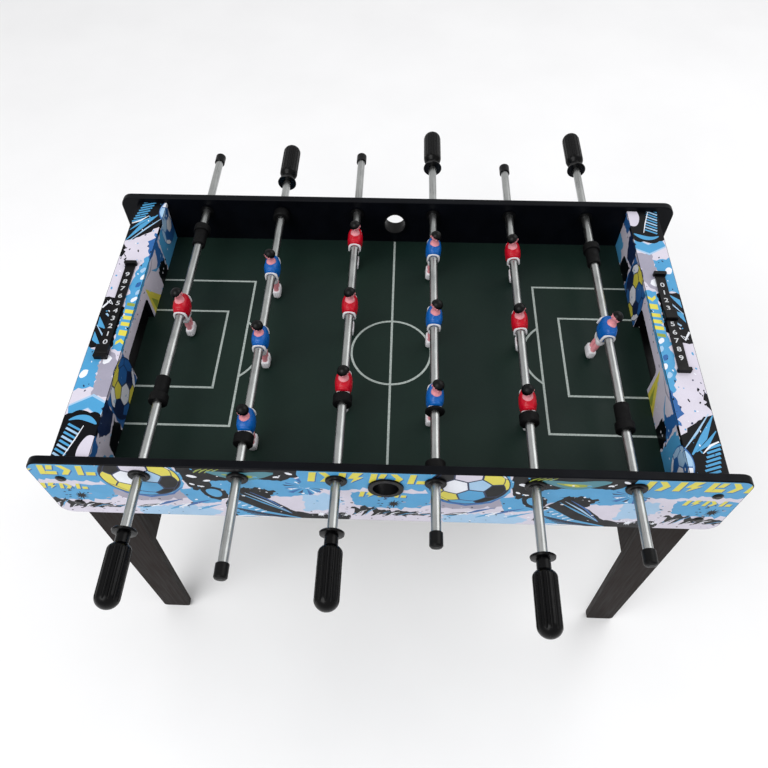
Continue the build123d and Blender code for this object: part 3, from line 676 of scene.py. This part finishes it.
def film(name, outline, holes, layers, ground, spot, facing):
    """One sheet of printed film, cut so that no two inks overlap, with its faces towards facing.

    layers are drawn over each other, on the ground's ink or on nothing; spot gives a drawing point's
    place in millimetres.
    """
    margin = 3
    points, edges = [], []
    box = np.array(outline)
    low, high = box.min(0) - margin, box.max(0) + margin
    kept = [(loop, tint) for loop, tint in layers
            if np.all(np.array(loop).max(0) > low) and np.all(np.array(loop).min(0) < high)]
    for loop in [outline, *holes, *(loop for loop, _ in kept)]:
        start = len(points)
        points += [Vector(p) for p in loop]
        edges += [(start + i, start + (i + 1) % len(loop)) for i in range(len(loop))]
    found = geometry.delaunay_2d_cdt(points, edges, [], 0, 1e-4, False)
    flat = np.array([tuple(p) for p in found[0]])
    tris = np.array([tuple(t) for t in found[2] if len(t) == 3])
    middle = flat[tris].mean(1)
    shown = inside(middle, outline)
    for loop in holes:
        shown &= ~inside(middle, loop)
    tints = list(PAINTS)
    tint = np.full(len(tris), tints.index(ground) if ground else -1)
    for loop, key in kept:
        tint[inside(middle, loop)] = tints.index(key)
    shown &= tint >= 0
    tris, tint = tris[shown], tint[shown]
    corner = np.array([spot(*flat[i]) for i in range(len(flat))]) * MM
    used = sorted(set(tint))
    order = {key: i for i, key in enumerate(used)}
    live, back = np.unique(tris, return_inverse=True)
    piece = mesh_object(name, corner[live].tolist(), back.reshape(-1, 3).tolist(),
                        [PAINTS[tints[key]] for key in used], [order[t] for t in tint])
    if piece.data.polygons[0].normal.dot(Vector(facing)) < 0:
        piece.data.flip_normals()
    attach(piece, "cabinet")


def rounded(x0, x1, y0, y1, radius, count=10):
    """A rectangle with rounded corners."""
    made = []
    for x, y, start in ((x1, y1, 0), (x0, y1, 90), (x0, y0, 180), (x1, y0, 270)):
        cx = x - radius if x == x1 else x + radius
        cy = y - radius if y == y1 else y + radius
        for k in range(count + 1):
            a = math.radians(start + 90 * k / count)
            made.append((cx + radius * math.cos(a), cy + radius * math.sin(a)))
    return made


def repeated(first, count):
    """The long panels' print repeated along x, with its first football at first."""
    return [layer for k in range(count) for layer in shifted(CELL, first + CELL_WIDE * k)]


CELL = panel_cell()
CELL_WIDE = 422
PANEL_BALL = -316      # the first football of a long panel, and of an end board
END_BALL = -150
panel_low, panel_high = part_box("front_side_panel")
RIM_Z = panel_high.z / MM
PANEL_HALF = panel_high.x / MM
PANEL_DEEP = RIM_Z - panel_low.z / MM
FRONT_Y = panel_low.y / MM - FILM
BACK_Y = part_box("back_side_panel")[1].y / MM + FILM
INSET = 1.5            # bare edge of the long panels
PANEL_CORNER = 16.5
BUSHING_HOLE = 9
CUP_HOLE = 18
CUP_DOWN = 40          # the ball entry cup's axis, below the rim
panel_outline = rounded(-PANEL_HALF + INSET, PANEL_HALF - INSET, INSET, PANEL_DEEP - INSET, PANEL_CORNER)
panel_holes = [oval(x, RIM_Z - ROD_Z, BUSHING_HOLE, BUSHING_HOLE, count=24) for x in ROD_X]
panel_holes.append(oval(0, CUP_DOWN, CUP_HOLE, CUP_HOLE, count=32))
for name, spot, facing in (("print_front", lambda x, d: (x, FRONT_Y, RIM_Z - d), (0, -1, 0)),
                           ("print_back", lambda x, d: (-x, BACK_Y, RIM_Z - d), (0, 1, 0))):
    film(name, panel_outline, panel_holes, repeated(PANEL_BALL, 3), "paper", spot, facing)

shelf_low, shelf_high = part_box("left_top_shelf")
SHELF_WIDE = (shelf_high.y - shelf_low.y) / 2 / MM - 0.6
SHELF_TOP = shelf_high.z / MM
SHELF_UNDER = shelf_low.z / MM
SHELF_OUT = shelf_low.x / MM
SHELF_IN = shelf_high.x / MM
WALL_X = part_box("left_goal_wall")[1].x / MM
SHELF_RUN = 49         # where the drawing of an end turns down over the shelf's edge
EDGE_RUN = 55          # and where it goes on down the goal wall
WALL_RUN = 70.8
MOUTH_HALF = 60
MOUTH_TOP = FIELD_Z + 46
MOUTH_CORNER = 8
PAST_FILM = 120        # the mouth's cut runs out below the film
mouth = rounded(-MOUTH_HALF, MOUTH_HALF, EDGE_RUN + SHELF_UNDER - MOUTH_TOP, EDGE_RUN + PAST_FILM,
                MOUTH_CORNER)

# The sheets of an end: part, first and last line of the drawing on it, holes, and the drawing's x and z
SHEETS = (
    ("shelf", 0.5, SHELF_RUN - 0.4, [], lambda v: (SHELF_OUT + v, SHELF_TOP + FILM)),
    ("lip", SHELF_RUN + 0.6, EDGE_RUN - 0.3, [], lambda v: (SHELF_IN + FILM, SHELF_TOP - (v - SHELF_RUN))),
    ("wall", EDGE_RUN + 0.2, EDGE_RUN + WALL_RUN, [mouth],
     lambda v: (WALL_X + FILM, SHELF_UNDER - (v - EDGE_RUN))),
)


def placed(sign, x, y, z):
    """A point of the left end, or of the right one, which is the left one turned half round."""
    return (-sign * x, MID_Y - sign * y, z)


END_ART = end_art()
for side, sign in SIDES:
    for part, start, stop, holes, spot in SHEETS:
        facing = (0, 0, 1) if part == "shelf" else (-sign, 0, 0)
        film(f"print_{side}_{part}", bar(-SHELF_WIDE, SHELF_WIDE, start, stop), holes, END_ART, "paper",
             lambda y, v: placed(sign, spot(v)[0], y, spot(v)[1]), facing)


# ---------------------------------------------------------------- field lines

LINE_WIDE = 3.3
HALF_LINE = LINE_WIDE / 2
GOAL_LINE = 380.6
TOUCH_LINE = 241
SHEET_EDGE = 241.4
CIRCLE_R = 61
BOXES = ((229, 140.6), (264.5, 74.5))        # the penalty and goal boxes' front line and half length
ARC_X, ARC_R, ARC_HALF_TURN = 268.5, 66, 52.2


def arc_band(x, y, radius, start, end, count):
    """A line along an arc, from start to end in degrees."""
    points = [math.radians(start + (end - start) * k / count) for k in range(count + 1)]
    outer = [(x + (radius + HALF_LINE) * math.cos(a), y + (radius + HALF_LINE) * math.sin(a)) for a in points]
    inner = [(x + (radius - HALF_LINE) * math.cos(a), y + (radius - HALF_LINE) * math.sin(a)) for a in points]
    return outer + inner[::-1]


lines = [bar(-HALF_LINE, HALF_LINE, -TOUCH_LINE, TOUCH_LINE)]
lines += [arc_band(0, 0, CIRCLE_R, start, start + 180, 48) for start in (0, 180)]
for side, sign in SIDES:
    for box_x, box_y in BOXES:
        across = sorted((sign * (box_x - HALF_LINE), sign * (box_x + HALF_LINE)))
        along = sorted((sign * box_x, sign * GOAL_LINE))
        lines.append(bar(*across, -box_y - HALF_LINE, box_y + HALF_LINE))
        for t in (-1, 1):
            lines.append(bar(*along, t * box_y - HALF_LINE, t * box_y + HALF_LINE))
    inward = 180 if sign > 0 else 360
    lines.append(arc_band(sign * ARC_X, 0, ARC_R, inward - ARC_HALF_TURN, inward + ARC_HALF_TURN, 28))
film("field_lines", bar(-GOAL_LINE, GOAL_LINE, -SHEET_EDGE, SHEET_EDGE), [],
     [(loop, "line") for loop in lines], None,
     lambda x, y: (x, MID_Y + y, FIELD_Z + FILM), (0, 0, 1))


# ---------------------------------------------------------------- outer end boards

WINDOW_GAP = 0.3       # between the print and the goal box's rim
BOARD_MARGIN = 0.4
END_INSET = 0.6
for side, sign in SIDES:
    low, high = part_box(f"{side}_end_panel")
    face = max(high.x, -low.x) / MM + FILM
    wide = (high.y - low.y) / 2 / MM - END_INSET
    box_low, box_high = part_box(f"{side}_goal_box")
    window = bar(box_low.y / MM - MID_Y - WINDOW_GAP, box_high.y / MM - MID_Y + WINDOW_GAP,
                 RIM_Z - box_high.z / MM - WINDOW_GAP, RIM_Z - box_low.z / MM + WINDOW_GAP)
    film(f"print_{side}_end",
         bar(-wide, wide, RIM_Z - high.z / MM + BOARD_MARGIN, RIM_Z - low.z / MM - BOARD_MARGIN),
         [window], repeated(END_BALL, 2), "paper",
         lambda y, d: (sign * face, MID_Y + sign * y, RIM_Z - d), (sign, 0, 0))


# ---------------------------------------------------------------- score digits

DIGIT_INK = enamel("digit_white", "C4C6CA", 0.46)
DIGIT_SIZE = 11.4
DIGIT_BOLD = 0.14
DIGIT_STRETCH = (1.2, 1.0)
DIGIT_Z = SHELF_TOP + 3.06        # just above the score strip
STRIP_X = 404.5
SCORES = {"left": (-54.6, 14.53), "right": (77.0, -15.2)}        # place of the 0, and step to the next digit


def digit_shape(digit):
    """A digit as flat faces about its own middle."""
    text = bpy.data.curves.new("digit", "FONT")
    text.body = str(digit)
    text.size = DIGIT_SIZE
    text.offset = DIGIT_BOLD
    text.resolution_u = 6
    holder = bpy.data.objects.new("digit", text)
    bpy.context.scene.collection.objects.link(holder)
    bpy.context.view_layer.update()
    shape = bpy.data.meshes.new_from_object(holder.evaluated_get(bpy.context.evaluated_depsgraph_get()))
    points = np.array([v.co[:2] for v in shape.vertices])
    faces = [list(p.vertices) for p in shape.polygons]
    bpy.data.objects.remove(holder)
    bpy.data.meshes.remove(shape)
    bpy.data.curves.remove(text)
    return (points - (points.min(0) + points.max(0)) / 2) * DIGIT_STRETCH, faces


for side, sign in SIDES:
    first_y, step = SCORES[side]
    corners, faces = [], []
    for digit in range(10):
        points, polygons = digit_shape(digit)
        points += (sign * STRIP_X, MID_Y + first_y + step * digit)
        start = len(corners)
        corners += [(x * MM, y * MM, DIGIT_Z * MM) for x, y in points]
        faces += [[start + i for i in polygon] for polygon in polygons]
    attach(mesh_object(f"{side}_score_digits", corners, faces, [DIGIT_INK]), "cabinet")


# ---------------------------------------------------------------- players

SKIN = enamel("player_skin", "E0929A", 0.42)
WHITE = enamel("player_white", "D9D8DC", 0.36)
HAIR = enamel("player_hair", "020203", 0.36, 0.18)
RED = enamel("player_red", "B40620", 0.3, 0.24)
BLUE = enamel("player_blue", "0357A6", 0.3, 0.3)
MAN_PAINTS = ("shirt", "skin", "white", "hair")
SHARP_ANGLE = 50


class Solid:
    """Closed shells gathered into one mesh, each face with a paint."""

    def __init__(self):
        self.points, self.faces, self.paints = [], [], []

    def add(self, points, faces, paint):
        start = len(self.points)
        self.points += points
        self.faces += [[start + i for i in f] for f in faces]
        self.paints += [paint] * len(faces) if isinstance(paint, str) else paint

    def rings(self, rings, paint):
        """A shell through rings of points, closed at both ends."""
        count = len(rings[0])
        points = [p for ring in rings for p in ring]
        faces = []
        for r in range(len(rings) - 1):
            for k in range(count):
                n = (k + 1) % count
                faces.append((r * count + k, r * count + n, (r + 1) * count + n, (r + 1) * count + k))
        faces.append(tuple(range(count))[::-1])
        faces.append(tuple((len(rings) - 1) * count + k for k in range(count)))
        self.add(points, faces, paint)


def slice_at(z, a, b, power=2.5, x=0.0, y=0.0, count=24):
    """A rounded slice across the body, a half deep and b half wide."""
    made = []
    for k in range(count):
        t = 2 * math.pi * k / count
        c, s = math.cos(t), math.sin(t)
        made.append((x + a * math.copysign(abs(c) ** (2 / power), c),
                     y + b * math.copysign(abs(s) ** (2 / power), s), z))
    return made


def capped(rows, **more):
    """Slices from rows of z, a, b, with a small rounding added at both ends."""
    (z0, a0, b0), (z1, a1, b1) = rows[0], rows[-1]
    flat, rim, wall = 0.8, 0.2, 0.7
    rows = [(z0, a0 - flat, b0 - flat), (z0 + rim, a0 - rim, b0 - rim), (z0 + wall, a0, b0), *rows[1:-1],
            (z1 - wall, a1, b1), (z1 - rim, a1 - rim, b1 - rim), (z1, a1 - flat, b1 - flat)]
    return [slice_at(z, a, b, **more) for z, a, b in rows]


def egg(solid, centre, radii, paint, rows, count):
    """An ellipsoid."""
    rings = []
    for r in range(1, rows):
        t = math.pi * r / rows
        rings.append([(centre[0] + radii[0] * math.sin(t) * math.cos(2 * math.pi * k / count),
                       centre[1] + radii[1] * math.sin(t) * math.sin(2 * math.pi * k / count),
                       centre[2] - radii[2] * math.cos(t)) for k in range(count)])
    solid.rings(rings, paint)


HEAD_Z = 30.5
HEAD_R = 8.8
HAIR_THICK = 0.9
HAIRLINE = 0.42        # how steeply the hair's edge climbs from nape to forehead
HAIR_BLEND = 0.08
JAW = 0.12             # how much the head narrows to its chin
# A plain doll's face, as bumps and dents: direction, half width, half height, how far it stands out
FACE = (
    ((1, 0, -0.1), 0.13, 0.22, 1.2),
    ((0.93, 0.32, 0.08), 0.15, 0.1, -0.5),
    ((0.93, -0.32, 0.08), 0.15, 0.1, -0.5),
    ((0.9, 0, -0.42), 0.24, 0.05, -0.35),
    ((0.84, 0, -0.62), 0.22, 0.14, 0.4),
)


def head(solid):
    """Head with its face towards +X, a cap of hair, ears and eyes."""
    rows, count = 22, 32
    rings, paints = [], []
    for r in range(1, rows):
        t = math.pi * r / rows
        ring, tints = [], []
        for k in range(count):
            p = 2 * math.pi * k / count
            d = Vector((math.sin(t) * math.cos(p), math.sin(t) * math.sin(p), -math.cos(t)))
            line = d.z - HAIRLINE * d.x
            rise = min(1.0, max(0.0, line / HAIR_BLEND + 0.5))
            radius = HEAD_R - HAIR_THICK * (1 - rise)
            if d.x > 0:
                for at, wide, tall, push in FACE:
                    radius += push * math.exp(-((d.y - at[1]) / wide) ** 2 - ((d.z - at[2]) / tall) ** 2)
            narrow = 1 - JAW * max(0.0, -d.z)
            ring.append((radius * d.x * narrow, radius * d.y * narrow, HEAD_Z + radius * d.z))
            tints.append("hair" if line > 0 else "skin")
        rings.append(ring)
        paints.append(tints)
    face_paints = [paints[r][k] for r in range(rows - 2) for k in range(count)] + ["skin", "hair"]
    solid.rings(rings, face_paints)
    for s in (-1, 1):
        egg(solid, (-0.4, s * 7.9, HEAD_Z - 1.2), (1.5, 0.9, 2.1), "skin", 8, 12)
        egg(solid, (7.25, s * 2.5, HEAD_Z + 0.7), (0.5, 0.95, 0.6), "hair", 6, 10)


def cuff(solid, side):
    """White sleeve end: an arch over the rod with a leg down each side of it."""
    y0, y1 = 15.4, 18.9
    arch, half_thick, squareness = 8.4, 1.6, 0.6
    path = [(-8.6, -7.0), (-8.5, -4.0)]
    turns = [math.radians(a) for a in range(180, -1, -15)]
    path += [(arch * math.cos(a), arch * math.sin(a)) for a in turns]
    path += [(8.5, -4.0), (8.6, -7.0)]
    rings = []
    for k, (x, z) in enumerate(path):
        x0, z0 = path[max(0, k - 1)]
        x1, z1 = path[min(len(path) - 1, k + 1)]
        run = math.hypot(x1 - x0, z1 - z0)
        nx, nz = -(z1 - z0) / run, (x1 - x0) / run
        shrink = 0.75 if k in (0, len(path) - 1) else 1.0
        ring = []
        for j in range(16):
            t = 2 * math.pi * j / 16
            c, s = math.cos(t), math.sin(t)
            out = half_thick * shrink * math.copysign(abs(c) ** squareness, c)
            along = (y1 - y0) / 2 * shrink * math.copysign(abs(s) ** squareness, s)
            ring.append((x + nx * out, side * ((y0 + y1) / 2 + along), z + nz * out))
        rings.append(ring)
    solid.rings(rings, "white")


def man():
    """One player about the rod's axis, facing +X. Slices are z, half depth and half width."""
    solid = Solid()
    solid.rings([slice_at(-59, 3.0, 8.6, 4), slice_at(-58.4, 3.8, 9.6, 4), slice_at(-56, 5.7, 10.6, 5),
                 slice_at(-55.2, 6, 10.8, 6), slice_at(-46.4, 6, 10.8, 6), slice_at(-44.6, 5.6, 10.3, 5),
                 slice_at(-44, 4.8, 9.4, 4)], "white")
    for s in (-1, 1):
        leg = [(-45, 3.9, 4.1), (-41, 3.6, 3.8), (-36, 4.5, 4.4), (-30, 4.2, 4.1), (-23, 5.0, 4.8)]
        hem = [(-25.6, 5.6, 5.6), (-24, 6.0, 5.9), (-17, 7.4, 6.6)]
        solid.rings(capped(leg, y=s * 4.3, count=18), "skin")
        solid.rings(capped(hem, y=s * 4.8, count=20), "white")
    shorts = [(-21, 6.0, 9.6), (-17, 7.6, 11.6), (-13, 8.8, 13.2), (-8, 10.0, 14.2)]
    solid.rings(capped(shorts, count=28), "white")
    chest = [(-11.5, 9.9, 14.0), (-8, 11.3, 15.6), (-2, 12.1, 16.6), (3, 12.2, 17.0), (8, 11.6, 17.0),
             (12, 10.0, 16.2), (14.6, 8.2, 13.4), (16.4, 6.2, 9.6)]
    solid.rings(capped(chest, power=2.7, count=32), "shirt")
    for s in (-1, 1):
        egg(solid, (0, s * 14.4, 5.5), (8.9, 4.3, 8.6), "shirt", 12, 20)
        cuff(solid, s)
    neck = [(14.4, 7.4, 8.8), (16.6, 6.9, 8.0), (18.4, 6.0, 6.4), (20.5, 5.2, 5.2), (23, 5.0, 5.0),
            (26, 5.4, 5.4)]
    solid.rings([slice_at(z, a, b, 2, count=24) for z, a, b in neck], "skin")
    head(solid)
    return solid


MAN = man()
for index in range(1, 7):
    low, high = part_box(f"rod_{index}_players")
    count = 1 if index in (1, 6) else 3
    first = low.y / MM + MAN_HALF_WIDTH
    pitch = 0 if count == 1 else (high.y / MM - MAN_HALF_WIDTH - first) / 2
    red = index % 2 == 1
    shirt = RED if red else BLUE
    points, faces, paints = [], [], []
    lean = Matrix.Rotation(math.radians(-LEAN[index]), 4, "Y")
    face = lean @ Matrix.Rotation(0 if red else math.pi, 4, "Z")
    for k in range(count):
        move = Matrix.Translation((ROD_X[index - 1], first + k * pitch, ROD_Z)) @ face
        start = len(points)
        points += [tuple((move @ Vector(p)) * MM) for p in MAN.points]
        faces += [[start + i for i in f] for f in MAN.faces]
        paints += [MAN_PAINTS.index(p) for p in MAN.paints]
    piece = mesh_object(f"rod_{index}_men", points, faces, (shirt, SKIN, WHITE, HAIR), paints)
    piece.data.shade_smooth()
    piece.data.set_sharp_from_angle(angle=math.radians(SHARP_ANGLE))
    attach(piece, f"rod_{index}")
    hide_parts(f"rod_{index}_players")


# ---------------------------------------------------------------- floor, light, camera

def pale_floor():
    s = Shade("floor_pale", 0.7, specular=0.2)
    s.color(s.mix(s.cloud(3, 3), rgb("F4F4F5"), rgb("F8F8F9")))
    s.bump(s.noise(60, 3), 100)
    return s.material


FLOOR_HALF = 9
FLOOR_Z = -0.0006      # just under the legs
square = bar(-FLOOR_HALF, FLOOR_HALF, -FLOOR_HALF, FLOOR_HALF)
mesh_object("floor", [(x, y, FLOOR_Z) for x, y in square], [(0, 1, 2, 3)], [pale_floor()])

world = bpy.data.worlds.new("studio")
bpy.context.scene.world = world
world.use_nodes = True
backdrop = world.node_tree.nodes["Background"].inputs
backdrop["Color"].default_value = (1, 1, 1, 1)
backdrop["Strength"].default_value = 0.72

# Lamps: name, place, size in metres, power in watts. Both look at the middle of the table.
AIM = Vector((0, 0, 0.5))
for name, place, size, power in (("key", (-1.3, -1.6, 3.0), 2.2, 62), ("fill", (1.9, 1.2, 2.6), 2.0, 22)):
    lamp = bpy.data.lights.new(name, "AREA")
    lamp.size = size
    lamp.energy = power
    holder = bpy.data.objects.new(name, lamp)
    holder.location = place
    holder.rotation_mode = "QUATERNION"
    holder.rotation_quaternion = (AIM - Vector(place)).to_track_quat("-Z", "Y")
    bpy.context.scene.collection.objects.link(holder)

bpy.context.scene.view_settings.view_transform = "Standard"

ahead = Vector((math.sin(YAW) * math.cos(PITCH), math.cos(YAW) * math.cos(PITCH), -math.sin(PITCH)))
right = Vector((math.cos(YAW), -math.sin(YAW), 0))
up = right.cross(ahead)
axis_x = right * math.cos(ROLL) + up * math.sin(ROLL)
axis_y = up * math.cos(ROLL) - right * math.sin(ROLL)
lens = bpy.data.cameras.new("camera")
lens.lens = LENS
lens.sensor_width = 36
lens.clip_start = 0.01
lens.clip_end = 100
camera = bpy.data.objects.new("camera", lens)
camera.matrix_world = Matrix.Translation(EYE) @ Matrix((axis_x, axis_y, -ahead)).transposed().to_4x4()
bpy.context.scene.collection.objects.link(camera)
bpy.context.scene.camera = camera
